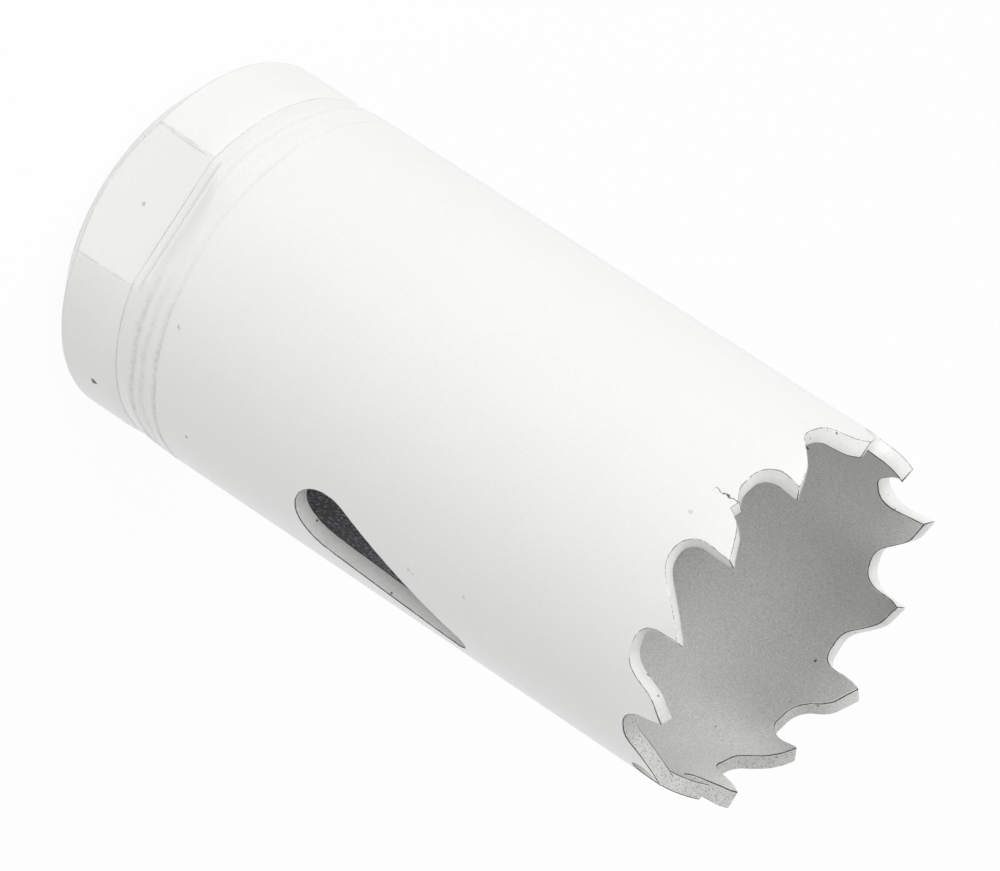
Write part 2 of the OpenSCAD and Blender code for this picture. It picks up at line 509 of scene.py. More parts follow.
    def rim_line(self) -> list[Point2]:
        """The whole rim in the flat strip, from the middle of one gullet's floor round to it again.

        Returns:
            Its points, along the strip and up.
        """
        start = self.tip(-1) + self.floor_middle(0)
        line = [
            (self.tip(k - 1) + x, self.saw_h + z)
            for k in range(len(self.teeth) + 1)
            for x, z in self.gullet(k % len(self.teeth))
        ]
        clear = self.least_floor / 2
        inner = [p for p in line if start + clear < p[0] < start + self.ring - clear]
        floor = self.saw_h - self.teeth[0].depth
        return fill_gaps([(start, floor), *inner, (start + self.ring, floor)], self.line_step)

    def slot_line(self, turn: float) -> list[Point2]:
        """Outline of a chip slot in the flat strip.

        Args:
            turn: Direction of its wide end, in degrees.

        Returns:
            Its points, once round.
        """
        along = math.degrees(math.atan2(self.slot_rise, self.slot_lean))
        length = math.hypot(self.slot_rise, self.slot_lean)
        touch = math.degrees(math.acos((self.slot_r - self.slot_tip_r) / length))
        wide = arc((0, 0), self.slot_r, along + touch, along + 360 - touch, self.slot_steps)
        end = self.slot_lean, self.slot_rise
        narrow = arc(end, self.slot_tip_r, along - touch, along + touch, self.slot_tip_steps)
        centre = (turn - self.first_tip) % 360 * self.ring / 360
        stretch = self.ring / (2 * math.pi * self.body_r)
        line = fill_gaps([*wide, *narrow, wide[0]], self.line_step * 2)[:-1]
        return [(centre + x * stretch, self.slot_z + z) for x, z in line]

    def tooth_at(self, x: float) -> int:
        """Number of the tooth that a place along the strip belongs to.

        Args:
            x: The place, from the first tip.

        Returns:
            The number, which is the count of teeth for the first one again.
        """
        for k in range(len(self.teeth) + 1):
            if x < self.tip(k) + self.floor_middle(k + 1):
                return k
        return len(self.teeth)

    def roll(self, x: float, y: float, z: float) -> Vector:
        """Takes a point of the flat strip to its place on the finished tube, with set and twist.

        Args:
            x: Place along the strip.
            y: Height above the wall's inside.
            z: Height over the cap's face.

        Returns:
            The point on the tube.
        """
        k = self.tooth_at(x)
        sign = self.side(k).value
        up = max(0.0, (z - self.bend_z) / (self.saw_h - self.bend_z))
        lean = sign * self.tooth_set * up * up
        behind, before = self.teeth[k % len(self.teeth)], self.teeth[(k + 1) % len(self.teeth)]
        share = min(1.0, max(0.0, (x - self.tip(k) + self.blend_run) / self.blend_run))
        depth = behind.depth + (before.depth - behind.depth) * share
        climb = max(0.0, 1 + (z - self.saw_h) / depth)
        ahead = (self.twist_out if self.side(k) is Side.OUT else self.twist_in) * climb
        swell = 4 * self.face_swell * climb * (1 - climb) * share
        in_from = self.wall - y - lean
        x += (ahead * (in_from + sign * self.tooth_set) + swell * in_from) / self.wall
        angle = math.radians(self.first_tip + x * 360 / self.ring)
        r = self.body_r - self.wall + y + lean
        return Vector((r * math.cos(angle), r * math.sin(angle), z))

    def flat_strip(self) -> bpy.types.Object:
        """Cuts the flat strip with its gullets and slots, one sheet thick.

        Returns:
            The sheet, still in millimetres: X along the strip and Z up.
        """
        rim = self.rim_line()
        start, end = rim[0][0], rim[-1][0]
        across = [start + (end - start) * i / self.turn_steps for i in range(self.turn_steps + 1)]
        side_z = [self.foot_z + self.row_h * i for i in range(int((rim[0][1] - self.foot_z) / self.row_h))]
        outline = [(x, self.foot_z) for x in across]
        outline += [(end, z) for z in side_z[1:]]
        outline += rim[::-1]
        outline += [(start, z) for z in side_z[:0:-1]]
        loops = [outline]
        for turn in (self.slot_angle, self.slot_angle + 180):
            centre = self.slot_line(turn)
            shift = -self.ring if centre[0][0] > end else 0.0
            loops.append([(x + shift, z) for x, z in centre])
        points = [Vector(p) for loop in loops for p in loop]
        edges = []
        first = 0
        for loop in loops:
            edges += [(first + i, first + (i + 1) % len(loop)) for i in range(len(loop))]
            first += len(loop)
        clear = self.row_h * self.row_clear
        marks = [p for p in points if p.y > self.foot_z + clear]
        rows = side_z[1:] + [side_z[-1] + self.row_h, side_z[-1] + 2 * self.row_h]
        for i in range(1, self.turn_steps):
            near = [m for m in marks if abs(m.x - across[i]) < clear]
            column = [Vector((across[i], z)) for z in rows]
            points += [p for p in column if all((p - m).length > clear for m in near)]
        inside_outline = 1
        made = delaunay_2d_cdt(points, edges, [], inside_outline, 1e-6)
        corners = [(p.x, p.y) for p in made[0]]
        faces = [f for f in made[2] if not any(inside(middle(corners, f), loop) for loop in loops[1:])]
        return new_object("saw_tube_enamelled", [(x, 0.0, z) for x, z in corners], faces)

    def open_ends(self, piece: bpy.types.Object) -> None:
        """Takes away the strip's two end faces and its foot, which the weld covers.

        Args:
            piece: The thickened strip.
        """
        with open_mesh(piece) as mesh:
            xs = [v.co.x for v in mesh.verts]
            sides = [(0, min(xs)), (0, max(xs)), (2, self.foot_z)]
            ends = [f for f in mesh.faces if any(
                all(abs(v.co[axis] - place) < TINY for v in f.verts) for axis, place in sides)]
            bmesh.ops.delete(mesh, geom=ends, context="FACES_ONLY")
            bmesh.ops.delete(mesh, geom=[e for e in mesh.edges if e.is_wire], context="EDGES")

    def wear(self, co: Vector) -> float:
        """Strength of the worn line on the flat strip's edges, full on the inner ones.

        Args:
            co: A place on the strip.

        Returns:
            The strength, from 0 to 1. Outer edges outside the two directions have the least.
        """
        if co.y < 0:
            return 1.0
        turn = self.first_tip + co.x * 360 / self.ring
        runs = turn - self.strong_start, self.strong_end - turn
        share = math.prod(ease(run / self.strong_run) for run in runs)
        return self.faint_wear + (self.strong_wear - self.faint_wear) * share

    def build(self) -> bpy.types.Object:
        """Makes the tube: cut flat, thickened, its edges rounded, then rolled and joined at the ends.

        Returns:
            The finished piece.
        """
        piece = self.flat_strip()
        apply_modifier(piece, "SOLIDIFY", thickness=self.wall, offset=0.0)
        self.open_ends(piece)
        add_slots(piece, Coat.CUT)
        apply_modifier(
            piece, "BEVEL", width=self.edge_w, segments=self.edge_steps, limit_method="ANGLE",
            angle_limit=math.radians(self.edge_angle), use_clamp_overlap=False, material=Coat.EDGE.value,
        )
        mark_edges(piece, self.edge_steps, self.wear)
        with open_mesh(piece) as mesh:
            for f in mesh.faces:
                if f.material_index != Coat.EDGE.value:
                    y = f.calc_center_median().y
                    side = Coat.OUTSIDE if y > 0 else Coat.INSIDE
                    f.material_index = (side if abs(y) > self.wall / 2 - TINY else Coat.CUT).value
            self.roll_up(mesh)
            self.close_foot(mesh)
        return piece

    def roll_up(self, mesh: bmesh.types.BMesh) -> None:
        """Rolls the strip, its edges a little ragged, and joins its ends.

        Args:
            mesh: The flat strip, which also gets the attribute "inward": 0 outside and 1 inside.
        """
        edge = mesh.verts.layers.float["edge"]
        inward = mesh.verts.layers.float.new("inward")
        xs = [v.co.x for v in mesh.verts]
        low, high = min(xs), max(xs)
        for v in mesh.verts:
            v[inward] = 0.5 - v.co.y / self.wall
            from_end = min(v.co.x - low, high - v.co.x) * self.ragged_fade
            depth = self.ragged_depth * min(1.0, from_end) if v[edge] > 0 else 0.0
            place = v.co / self.ragged_size
            along, down = (depth * noise.noise(place + Vector((far, 0, 0))) for far in (0, 50))
            v.co = self.roll(v.co.x + along, v.co.y + self.wall / 2, v.co.z + min(0, down)) * MM
        bmesh.ops.remove_doubles(mesh, verts=mesh.verts, dist=self.merge_dist * MM)
        join = [v for v in mesh.verts if v.is_boundary and v.co.z > (self.foot_z + NEAR) * MM]
        bmesh.ops.remove_doubles(mesh, verts=join, dist=self.join_dist * MM)

    def close_foot(self, mesh: bmesh.types.BMesh) -> None:
        """Closes the tube's foot with a flat ring between its outer and its inner edge.

        Args:
            mesh: The rolled tube.
        """
        foot = [v for v in mesh.verts if v.is_boundary and v.co.z < (self.foot_z + NEAR) * MM]
        foot.sort(key=lambda v: math.atan2(v.co.y, v.co.x))
        middle_r = (self.body_r - self.wall / 2) * MM
        outer = [v for v in foot if math.hypot(*v.co.xy) > middle_r]
        inner = [v for v in foot if math.hypot(*v.co.xy) <= middle_r]
        for i in range(len(outer)):
            face = mesh.faces.new((outer[i - 1], outer[i], inner[i], inner[i - 1]))
            for e in face.edges:
                e.smooth = False


@dataclass(frozen=True)
class Ripple:
    """One wavy groove round the weld.

    Attributes:
        z: Its height over the cap's face.
        depth: How deep it goes.
        width: How wide it is.
        wander: How far it wanders up and down.
        groove_shade: How strong the painted shade in its groove is, from 0 to 1.
        groove_shade_w: How wide that painted shade is.
    """

    z: float
    depth: float
    width: float
    wander: float
    groove_shade: float
    groove_shade_w: float


@dataclass
class WeldBead:
    """The soft lumpy weld between the cap and the tube, straight along the cap's two flats."""

    # The section.
    body_r: float = 12.1
    wall: float = 1.05
    groove_r: float = 11.88
    neck_r: float = 10.57
    neck_top: float = 8.3
    foot_z: float = 6.3
    top_z: float = 9.85
    swell: float = 1.9
    proud: float = 0.04
    top_share: float = 0.97
    inner_gap: float = 0.1
    turn_steps: int = 288
    rows: int = 52
    # The sides at the flats, and the soft corner where they meet the round.
    flat_x: float = 11.05
    flat_top: float = 6.85
    shoulder_z: float = 9.55
    flat_share: float = 0.3
    flat_curve: float = 0.9
    flat_lump: float = 0.05
    flat_lump_size: float = 1.3
    flare: float = 3.0
    flare_from: float = 0.93
    lip: float = 0.12
    lip_z: float = 0.25
    lip_w: float = 0.16
    melt: float = 0.06
    melt_least: float = 0.15
    melt_in: float = 4.0
    # The lumps, and how they fade at the section's two ends.
    lump: float = 0.07
    lump_size: float = 2.4
    lump_mean: float = 0.25
    lump_in: float = 5.0
    lump_out: float = 6.0
    # The ripples, which were smoothed on one side of the front, in degrees.
    wander_size: float = 2.6
    uneven_size: float = 1.7
    ripple_least: float = 0.35
    ripple_out: float = 40.0
    front: float = 120.0
    smooth_end: float = 8.0
    smooth_run: float = 25.0
    smooth_share: float = 0.15
    back_share: float = 0.8
    # The line of painted shade in the crease at the foot, along the flats.
    foot_line: float = 0.04
    foot_line_w: float = 0.06
    foot_line_from: float = 0.93
    ripples: tuple[Ripple, ...] = (
        Ripple(7.75, 0.14, 0.2, 0.35, 1.0, 0.24),
        Ripple(8.7, 0.04, 0.3, 0.5, 0.7, 0.2),
        Ripple(9.6, 0.11, 0.15, 0.16, 1.0, 0.2),
    )

    def at(self, angle: float, z: float, size: float) -> float:
        """Smooth noise at a place on the weld, between about -1 and 1."""
        return noise.noise(Vector((self.body_r * math.cos(angle), self.body_r * math.sin(angle), z)) / size)

    def ripple_z(self, angle: float, i: int) -> float:
        """Height of ripple i in a direction."""
        wander = self.at(angle, 40.0 * (i + 1), self.wander_size)
        return self.ripples[i].z + self.ripples[i].wander * wander

    def depth_share(self, angle: float) -> float:
        """Share of the ripples' full depth, small where the bead was smoothed on the side near -Y; it also
        scales the painted shade in the grooves, weak on that lit side.

        Args:
            angle: Direction, in radians.

        Returns:
            The share, from 0 to 1.
        """
        turn = math.degrees(angle)
        if abs(turn) >= self.front:
            return self.back_share
        return self.smooth_share + (1 - self.smooth_share) * ease((turn - self.smooth_end) / self.smooth_run)

    def groove_shade(self, angle: float, z: float) -> float:
        """Share of painted shade in the ripples' grooves and in the crease at the weld's foot, which the
        finish reads as "edge".

        Args:
            angle: Direction, in radians.
            z: Height over the cap's face.

        Returns:
            The share, 0 where no painted shade lies.
        """
        total = sum(
            ripple.groove_shade * self.depth_share(angle) * bump(z - self.ripple_z(angle, i), ripple.groove_shade_w)
            for i, ripple in enumerate(self.ripples)
        )
        if abs(math.cos(angle)) > self.foot_line_from:
            total += bump(z - self.flat_top - self.foot_line, self.foot_line_w)
        return total

    def outer(self, angle: float, z: float) -> float:
        """Radius of the weld's outside.

        Args:
            angle: Direction, in radians.
            z: Height over the cap's face.

        Returns:
            The distance from the thread's axis.
        """
        up = (z - self.foot_z) / (self.top_z - self.foot_z)
        rise = math.sin(math.pi / 2 * min(1.0, up * self.swell))
        r = self.groove_r + (self.body_r - self.groove_r) * rise
        fade = ease(up * self.lump_in) * ease((1 - up) * self.lump_out)
        r += fade * self.lump * (self.at(angle, z, self.lump_size) - self.lump_mean)
        for i, ripple in enumerate(self.ripples):
            depth = ripple.depth * (0.75 + 0.5 * self.at(angle, 90.0 * (i + 1), self.uneven_size))
            depth *= self.ripple_least + (1 - self.ripple_least) * self.depth_share(angle)
            depth *= ease((1 - up) * self.ripple_out)
            r -= depth * bump(z - self.ripple_z(angle, i), ripple.width)
        if abs(math.cos(angle)) > self.flat_share:
            r = self.meet_flat(r, angle, z)
        return min(r, self.body_r + (self.proud if up <= self.top_share else 0.0))

    def meet_flat(self, r: float, angle: float, z: float) -> float:
        """Draws the weld's outside in to the cap's flat, with a soft corner where the two meet.

        Args:
            r: Radius of the outside without the flat.
            angle: Direction, in radians.
            z: Height over the cap's face.

        Returns:
            The radius with the flat.
        """
        share = max(0.0, (z - self.flat_top) / (self.shoulder_z - self.flat_top))
        lip = self.lip * bump(z - self.flat_top - self.lip_z, self.lip_w) if share > 0 else 0.0
        curve = math.sin(math.pi / 2 * min(1.0, share)) ** self.flat_curve
        wide = self.flat_x + (self.body_r - self.flat_x) * curve
        lumps = self.flat_lump * ease(share) * self.at(angle, z, self.flat_lump_size)
        flare = self.flare * max(0.0, share - self.flare_from)
        flat = (wide + lip + lumps + flare) / abs(math.cos(angle))
        melt = self.melt * (self.melt_least + ease(share * self.melt_in))
        return min(r, flat) - melt * math.log1p(math.exp(-abs(r - flat) / melt))

    def build(self) -> bpy.types.Object:
        """Turns the weld's section round the axis and shapes its outside.

        Returns:
            The finished piece.
        """
        zs = [self.foot_z + (self.top_z - self.foot_z) * i / self.rows for i in range(self.rows + 1)]
        section = [(self.body_r, z) for z in zs]
        section.append((self.body_r - self.wall, self.top_z))
        section += [(self.neck_r, z) for z in (self.neck_top, self.foot_z)]
        count = len(section)
        piece = new_object("weld_bead_enamelled", [(r * MM, 0.0, z * MM) for r, z in section], [])
        piece.data.edges.add(count)
        for i, edge in enumerate(piece.data.edges):
            edge.vertices = (i, (i + 1) % count)
        make_active(piece)
        bpy.ops.object.mode_set(mode="EDIT")
        bpy.ops.mesh.select_all(action="SELECT")
        bpy.ops.mesh.spin(steps=self.turn_steps, angle=2 * math.pi, center=(0, 0, 0), axis=(0, 0, 1))
        bpy.ops.mesh.select_all(action="SELECT")
        bpy.ops.mesh.remove_doubles(threshold=1e-6)
        bpy.ops.mesh.normals_make_consistent(inside=False)
        bpy.ops.object.mode_set(mode="OBJECT")
        add_slots(piece, Coat.INSIDE)
        mark_edges(piece, 1, lambda co: 0.0)
        with open_mesh(piece) as mesh:
            edge = mesh.verts.layers.float["edge"]
            for v in mesh.verts:
                if math.hypot(v.co.x, v.co.y) > (self.body_r - NEAR) * MM:
                    angle = math.atan2(v.co.y, v.co.x)
                    r = self.outer(angle, v.co.z / MM)
                    # Painted shade: the attribute 'edge' marks the ripples' grooves and the foot's crease
                    # for darkening.
                    v[edge] = self.groove_shade(angle, v.co.z / MM)
                    v.co.x, v.co.y = r * math.cos(angle) * MM, r * math.sin(angle) * MM
            for f in mesh.faces:
                within = math.hypot(*f.calc_center_median().xy) < (self.flat_x - self.inner_gap) * MM
                f.material_index = (Coat.INSIDE if within else Coat.OUTSIDE).value
        return piece


@dataclass
class ThreadedCap:
    """The thick end cap: two spanner flats, a chamfer round its face and a thread through its middle."""

    cap_r: float = 12.05
    cap_h: float = 6.3
    bevel_w: float = 2.1
    bevel_h: float = 1.75
    across_flats: float = 22.1
    groove_r: float = 11.88
    round_h: float = 1.4
    neck_r: float = 10.55
    neck_h: float = 1.0
    bore_d: float = 11.5
    thread_d: float = 12.7
    thread_pitch: float = 1.27
    sink: float = 0.6
    thread_flat: float = 0.25
    thread_slope: float = 0.3125
    merge_dist: float = 0.0001
    edge_w: float = 0.13
    edge_steps: int = 4
    edge_angle: float = 15.0
    wear: float = 0.7
    round_steps: int = 4
    turn_steps: int = 144
    thread_rows: tuple[float, ...] = (0.0, 0.125, 0.25, 0.35, 0.46, 0.5625, 0.6875, 0.79, 0.9)

    def body(self) -> bpy.types.Object:
        """Shapes the outside from a disc by extruding and scaling it, and cuts the two flats.

        Returns:
            The cap without its bore and neck.
        """
        r, z = self.cap_r - self.bevel_w, 0.0
        steps = [(self.cap_r, self.bevel_h), (self.cap_r, self.cap_h - self.round_h)]
        for i in range(1, self.round_steps + 1):
            share = i / self.round_steps
            drop = (self.cap_r - self.groove_r) * share ** 2
            steps.append((self.cap_r - drop, self.cap_h - self.round_h * (1 - share)))
        deselect_all()
        bpy.ops.mesh.primitive_circle_add(vertices=self.turn_steps, radius=r * MM, fill_type="NGON")
        piece = bpy.context.active_object
        piece.name = piece.data.name = "cap_threaded"
        bpy.ops.object.mode_set(mode="EDIT")
        bpy.ops.mesh.select_mode(type="FACE")
        bpy.ops.mesh.select_all(action="SELECT")
        for next_r, next_z in steps:
            bpy.ops.mesh.extrude_region_move(TRANSFORM_OT_translate={"value": (0, 0, (next_z - z) * MM)})
            bpy.ops.transform.resize(value=(next_r / r, next_r / r, 1), center_override=(0, 0, 0))
            r, z = next_r, next_z
        for side in (1, -1):
            bpy.ops.mesh.select_all(action="SELECT")
            bpy.ops.mesh.bisect(
                plane_co=(side * self.across_flats / 2 * MM, 0, 0), plane_no=(side, 0, 0),
                use_fill=True, clear_outer=True,
            )
        bpy.ops.mesh.select_all(action="SELECT")
        bpy.ops.mesh.normals_make_consistent(inside=False)
        bpy.ops.object.mode_set(mode="OBJECT")
        add_slots(piece, Coat.EDGE)
        apply_modifier(
            piece, "BEVEL", width=self.edge_w * MM, segments=self.edge_steps, limit_method="ANGLE",
            angle_limit=math.radians(self.edge_angle), use_clamp_overlap=False, material=Coat.EDGE.value,
        )
        mark_edges(piece, self.edge_steps, lambda co: self.wear)
        return piece

    def thread_r(self, phase: float, z: float) -> float:
        """Radius of the bore's wall.

        Args:
            phase: Place in one pitch of the thread, from 0 to 1.
            z: Height over the cap's face.

        Returns:
            The distance from the axis, with the countersinks at both ends.
        """
        rise, fall = (
            min(1.0, max(0.0, run / self.thread_slope)) for run in (phase - self.thread_flat, 1 - phase)
        )
        end = min(z, self.cap_h + self.neck_h - z)
        sink_r = self.bore_d / 2 + self.sink - end
        return max((self.bore_d + (self.thread_d - self.bore_d) * rise * fall) / 2, sink_r)

    def add_bore(self, mesh: bmesh.types.BMesh) -> tuple[list[bmesh.types.BMEdge], list[bmesh.types.BMEdge]]:
        """Adds the threaded wall, its rows following the thread and held at both ends of the bore.

        Args:
            mesh: The cap's mesh, in metres.

        Returns:
            The edges round its lower end and round its upper end.
        """
        top = self.cap_h + self.neck_h
        turns = math.ceil(top / self.thread_pitch) + 1
        rows = [(turn, phase) for turn in range(-1, turns) for phase in self.thread_rows]
        grid = []
        for i in range(self.turn_steps + 1):
            share = i / self.turn_steps
            angle = 2 * math.pi * share
            line = []
            for turn, phase in rows:
                z = min(top, max(0.0, (turn + phase + share) * self.thread_pitch))
                r = self.thread_r(phase, z)
                line.append(mesh.verts.new((r * math.cos(angle) * MM, r * math.sin(angle) * MM, z * MM)))
            grid.append(line)
        for a, b in zip(grid, grid[1:]):
            for i in range(len(rows) - 1):
                mesh.faces.new((a[i], a[i + 1], b[i + 1], b[i])).material_index = Coat.INSIDE.value
        bmesh.ops.remove_doubles(mesh, verts=[v for line in grid for v in line], dist=self.merge_dist * MM)
        reach = (self.thread_d / 2 + self.sink) * MM
        bore = [e for e in mesh.edges if e.is_boundary and math.hypot(*e.verts[0].co.xy) < reach]
        low = [e for e in bore if all(v.co.z < TINY * MM for v in e.verts)]
        high = [e for e in bore if all(v.co.z > (top - TINY) * MM for v in e.verts)]
        return low, high

    def build(self) -> bpy.types.Object:
        """Joins the outside, the neck and the threaded bore into one closed piece.

        Returns:
            The finished piece.
        """
        piece = self.body()
        with open_mesh(piece) as mesh:
            low, high = self.add_bore(mesh)
            for level in (0.0, self.cap_h):
                flat = [f for f in mesh.faces if all(abs(v.co.z - level * MM) < TINY * MM for v in f.verts)]
                face = max(flat, key=lambda f: len(f.verts))
                rim = list(face.edges)
                bmesh.ops.delete(mesh, geom=[face], context="FACES_ONLY")
                bmesh.ops.bridge_loops(mesh, edges=rim + (self.add_neck(mesh, high) if level else low))
            bmesh.ops.recalc_face_normals(mesh, faces=mesh.faces)
            for e in mesh.edges:
                if e.calc_face_angle(0.0) > SHARP:
                    e.smooth = False
            for f in mesh.faces:
                f.smooth = True
        return piece

    def add_neck(self, mesh: bmesh.types.BMesh, high: list[bmesh.types.BMEdge]) -> list[bmesh.types.BMEdge]:
        """Adds the neck that stands inside the weld.

        Args:
            mesh: The cap's mesh.
            high: Edges round the upper end of the bore.

        Returns:
            The edges round the neck's foot.
        """
        rings = []
        for z in (self.cap_h, self.cap_h + self.neck_h):
            place = Matrix.Translation((0, 0, z * MM))
            made = bmesh.ops.create_circle(
                mesh, segments=self.turn_steps, radius=self.neck_r * MM, matrix=place)
            rings.append(list(dict.fromkeys(e for v in made["verts"] for e in v.link_edges)))
        bmesh.ops.bridge_loops(mesh, edges=rings[0] + rings[1])
        bmesh.ops.bridge_loops(mesh, edges=rings[1] + high)
        return rings[0]


class Sheet:
    """A node tree with short ways to add and join its nodes."""

    def __init__(self, tree: bpy.types.NodeTree) -> None:
        """Keeps the tree that the nodes go into."""
        self.tree = tree

    def add(
        self, kind: str, values: dict[int | str, object] | None = None, **settings: object
    ) -> bpy.types.Node:
        """Adds a node.

        Args:
            kind: Its type, without the word ShaderNode.
            values: A value or another node's output for each input.
            **settings: The node's own settings.

        Returns:
            The node.
        """
        node = self.tree.nodes.new("ShaderNode" + kind)
        for name, setting in settings.items():
            setattr(node, name, setting)
        for key, value in (values or {}).items():
            self.put(node.inputs[key], value)
        return node

    def put(self, socket: bpy.types.NodeSocket, value: object) -> None:
        """Sets an input, or links it where the value is an output.

        Args:
            socket: The input.
            value: What it gets.
        """
        if isinstance(value, bpy.types.NodeSocket):
            self.tree.links.new(value, socket)
        else:
            socket.default_value = value

    def math(self, operation: str, a: object, b: object = 0.0, clamp: bool = False) -> bpy.types.NodeSocket:
        """Output of a math node."""
        return self.add("Math", {0: a, 1: b}, operation=operation, use_clamp=clamp).outputs[0]

    def times(self, *parts: object) -> bpy.types.NodeSocket:
        """Output with the product of its parts."""
        return reduce(lambda a, b: self.math("MULTIPLY", a, b), parts)

    def along(self, place: object, way: Point3) -> bpy.types.NodeSocket:
        """Output with how far a place lies along a direction."""
        return self.add("VectorMath", {0: place, 1: way}, operation="DOT_PRODUCT").outputs["Value"]

    def fade(self, value: object, low: object, high: object) -> bpy.types.NodeSocket:
        """Output that goes smoothly from 0 at low to 1 at high."""
        values = {"Value": value, "From Min": low, "From Max": high}
        return self.add("MapRange", values, interpolation_type="SMOOTHSTEP").outputs["Result"]

    def mix(self, share: object, a: object, b: object, blend: str = "MIX") -> bpy.types.NodeSocket:
        """Output of a colour mix node."""
        return self.add("Mix", {0: share, 6: a, 7: b}, data_type="RGBA", blend_type=blend).outputs[2]

    def place(self) -> bpy.types.NodeSocket:
        """Output with the place on the object, in metres."""
        return self.add("TexCoord").outputs["Object"]

    def mark(self, name: str) -> bpy.types.NodeSocket:
        """Output with one of the pieces' own attributes."""
        return self.add("Attribute", attribute_name=name).outputs["Fac"]

    def noise(self, place: object, size: float, detail: float) -> bpy.types.NodeSocket:
        """Output of a noise texture, about 0.5 on average.

        Args:
            place: Where it is read.
            size: Size of its grains, in millimetres.
            detail: Its detail.

        Returns:
            The output.
        """
        values = {"Vector": place, "Scale": 1 / (size * MM), "Detail": detail}
        return self.add("TexNoise", values).outputs[0]


@dataclass
class Effects:
    """The node groups that the finishes share. Each has one output, and sizes are in millimetres."""

    grain_size: float = 0.09
    mottle_size: float = 3.5
    ragged_scale: float = 9000.0
    ragged_reach: float = 0.12
    chip_size: float = 0.2
    worn_sizes: Point2 = (0.25, 1.6)
    worn_soft: float = 0.12
    peel_size: float = 0.45
    wave_size: float = 2.6

    def __post_init__(self) -> None:
        """Builds each group once."""
        self.grain = self.group("paint_grain", {"Grain": 0.05, "Mottle": 0.03}, "Shade", self.build_grain)
        specks = {"Cells": 500.0, "Share": 0.1, "Size": 0.1}
        self.specks = self.group("specks", specks, "Mask", self.build_specks)
        self.worn_line = self.group("worn_line", {"Cover": 0.5, "Broken": 0.5}, "Mask", self.build_worn_line)
        self.chip = self.group("chip", {"Place": (0.0, 0.0, 0.0), "Radius": 0.0002}, "Mask", self.build_chip)
        self.peel = self.group("orange_peel", {"Fine": 1.0, "Wide": 1.0}, "Height", self.build_peel)

    def group(
        self, name: str, inputs: dict[str, float | Point3], output: str,
        build: Callable[[Sheet, Given], bpy.types.NodeSocket],
    ) -> bpy.types.NodeTree:
        """Builds a node group with one output.

        Args:
            name: Its name.
            inputs: Name and default of each input.
            output: Name of its output.
            build: Adds its nodes, from its inputs, and returns what it puts out.

        Returns:
            The group.
        """
        tree = bpy.data.node_groups.new(name, "ShaderNodeTree")
        for key, value in inputs.items():
            kind = "NodeSocketVector" if isinstance(value, tuple) else "NodeSocketFloat"
            tree.interface.new_socket(name=key, in_out="INPUT", socket_type=kind).default_value = value
        tree.interface.new_socket(name=output, in_out="OUTPUT", socket_type="NodeSocketFloat")
        sheet = Sheet(tree)
        value = build(sheet, tree.nodes.new("NodeGroupInput").outputs)
        sheet.put(tree.nodes.new("NodeGroupOutput").inputs[output], value)
        return tree

    def build_grain(self, sheet: Sheet, given: Given) -> bpy.types.NodeSocket:
        """Shade of the paint, about 1: fine grain and soft wide mottling.

        Args:
            sheet: The group's sheet.
            given: The group's inputs.

        Returns:
            The shade.
        """
        place = sheet.place()
        fine = sheet.math("SUBTRACT", sheet.noise(place, self.grain_size, 1.0), 0.5)
        wide = sheet.math("SUBTRACT", sheet.noise(place, self.mottle_size, 3.0), 0.5)
        both = sheet.math("ADD", sheet.times(fine, given["Grain"]), sheet.times(wide, given["Mottle"]))
        return sheet.math("ADD", sheet.times(both, 2.0), 1.0)

    def build_specks(self, sheet: Sheet, given: Given) -> bpy.types.NodeSocket:
        """Mask of small dark specks, one in some of the cells.

        Args:
            sheet: The group's sheet.
            given: The group's inputs.

        Returns:
            The mask.
        """
        place = sheet.place()
        ragged = sheet.add("TexNoise", {"Vector": place, "Scale": self.ragged_scale}).outputs["Color"]
        shift = sheet.add("VectorMath", {0: ragged, "Scale": self.ragged_reach * MM}, operation="SCALE")
        near = sheet.add("VectorMath", {0: place, 1: shift.outputs[0]}, operation="ADD").outputs[0]
        cells = sheet.add("TexVoronoi", {"Vector": near, "Scale": given["Cells"]})
        parts = sheet.add("SeparateColor", {0: cells.outputs["Color"]})
        there = sheet.math("LESS_THAN", parts.outputs[0], given["Share"])
        size = sheet.times(sheet.math("ADD", parts.outputs[1], 0.35), given["Size"])
        dot = sheet.fade(sheet.math("DIVIDE", cells.outputs["Distance"], size), 1.1, 0.7)
        return sheet.times(there, dot)

    def build_worn_line(self, sheet: Sheet, given: Given) -> bpy.types.NodeSocket:
        """Mask of the dark line where the paint is worn off a rounded edge, broken up by noise.

        Args:
            sheet: The group's sheet.
            given: The group's inputs.

        Returns:
            The mask.
        """
        place = sheet.place()
        edge = sheet.mark("edge")
        small, large = self.worn_sizes
        rough = sheet.math("ADD", sheet.noise(place, small, 4.0), sheet.noise(place, large, 2.0))
        rough = sheet.times(sheet.math("SUBTRACT", rough, 1.0), given["Broken"])
        start = sheet.math("SUBTRACT", 1.0, given["Cover"])
        level = sheet.math("SUBTRACT", sheet.math("ADD", edge, rough), start)
        mask = sheet.fade(level, -self.worn_soft, self.worn_soft)
        return sheet.times(mask, sheet.math("MULTIPLY", edge, 2.0, clamp=True))

    def build_chip(self, sheet: Sheet, given: Given) -> bpy.types.NodeSocket:
        """Mask of one ragged chip at a place.

        Args:
            sheet: The group's sheet.
            given: The group's inputs.

        Returns:
            The mask.
        """
        place = sheet.place()
        away = sheet.add("VectorMath", {0: place, 1: given["Place"]}, operation="DISTANCE").outputs["Value"]
        rough = sheet.math("SUBTRACT", sheet.times(sheet.noise(place, self.chip_size, 3.0), 2.4), 0.2)
        return sheet.fade(sheet.times(sheet.math("DIVIDE", away, given["Radius"]), rough), 1.15, 0.85)

